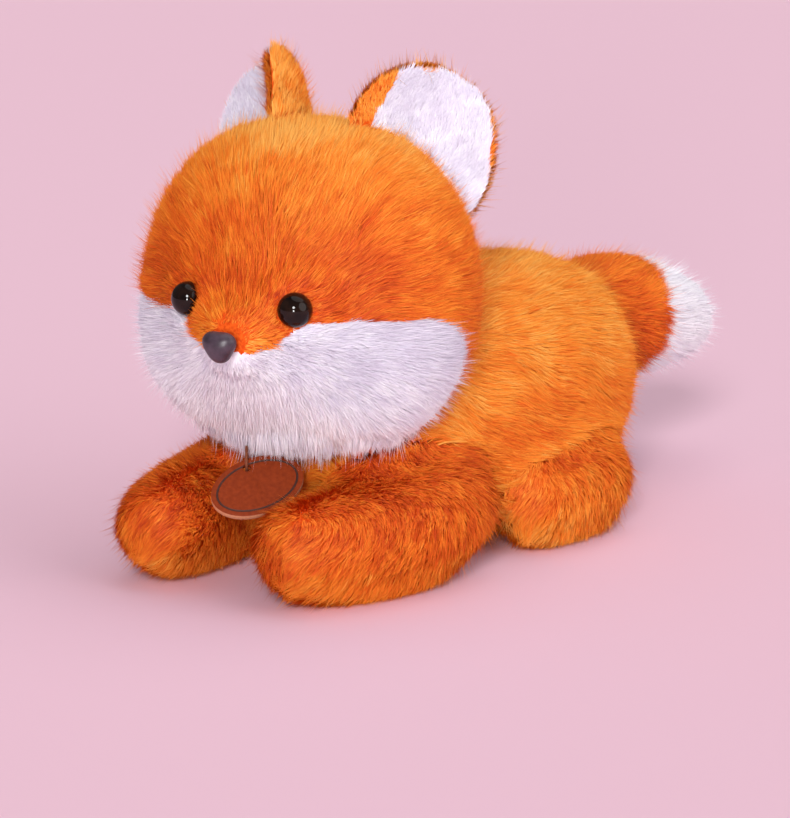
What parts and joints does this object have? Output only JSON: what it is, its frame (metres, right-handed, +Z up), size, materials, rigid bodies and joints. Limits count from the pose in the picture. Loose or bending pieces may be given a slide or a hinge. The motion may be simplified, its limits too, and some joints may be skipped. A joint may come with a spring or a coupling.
{
  "type": "plush fox",
  "caption": "Lying plush fox with a large turned head, cupped ears, white cheeks, safety eyes and nose, stuffed legs, a white-tipped tail and a hanging oval leather neck tag.",
  "frame": {"origin": "middle of the whole fox's box, on the floor that it lies on", "axes": "+Z up, -Y the way the fox faces, +X the fox's left side"},
  "size_m": [0.123, 0.2968, 0.1799],
  "materials": {
    "orange_pile": "long soft pile",
    "white_pile": "long soft pile",
    "stuffing": "loose fibre",
    "eye_plastic": "gloss",
    "nose_plastic": "satin",
    "washer_plastic": "satin",
    "tag_leather": "smooth",
    "tag_thread": "twisted thread"
  },
  "bodies": {
    "fox": {"head_crown": "orange_pile", "head_stuffing": "stuffing", "cheek_left": "white_pile", "cheek_right": "white_pile", "eye_left": "eye_plastic", "eye_right": "eye_plastic", "nose": "nose_plastic", "eye_washer_left": "washer_plastic", "eye_washer_right": "washer_plastic", "nose_washer": "washer_plastic", "ear_back_left": "orange_pile", "ear_lining_left": "white_pile", "ear_back_right": "orange_pile", "ear_lining_right": "white_pile", "body_cover": "orange_pile", "body_stuffing": "stuffing", "front_leg_cover_left": "orange_pile", "front_leg_stuffing_left": "stuffing", "front_leg_cover_right": "orange_pile", "front_leg_stuffing_right": "stuffing", "hind_leg_cover_left": "orange_pile", "hind_leg_stuffing_left": "stuffing", "hind_leg_cover_right": "orange_pile", "hind_leg_stuffing_right": "stuffing", "tail_sleeve": "orange_pile", "tail_tip": "white_pile", "tail_stuffing": "stuffing", "tag_thread": "tag_thread"},
    "tag": {"neck_tag": "tag_leather"}
  },
  "joints": [
    {"name": "tag_swing", "type": "hinge", "parent": "fox", "child": "tag", "pos_m": [-0.00426, -0.11381, 0.0409], "axis": [-0.766, -0.6428, 0], "range_deg": [0, 25]}
  ]
}
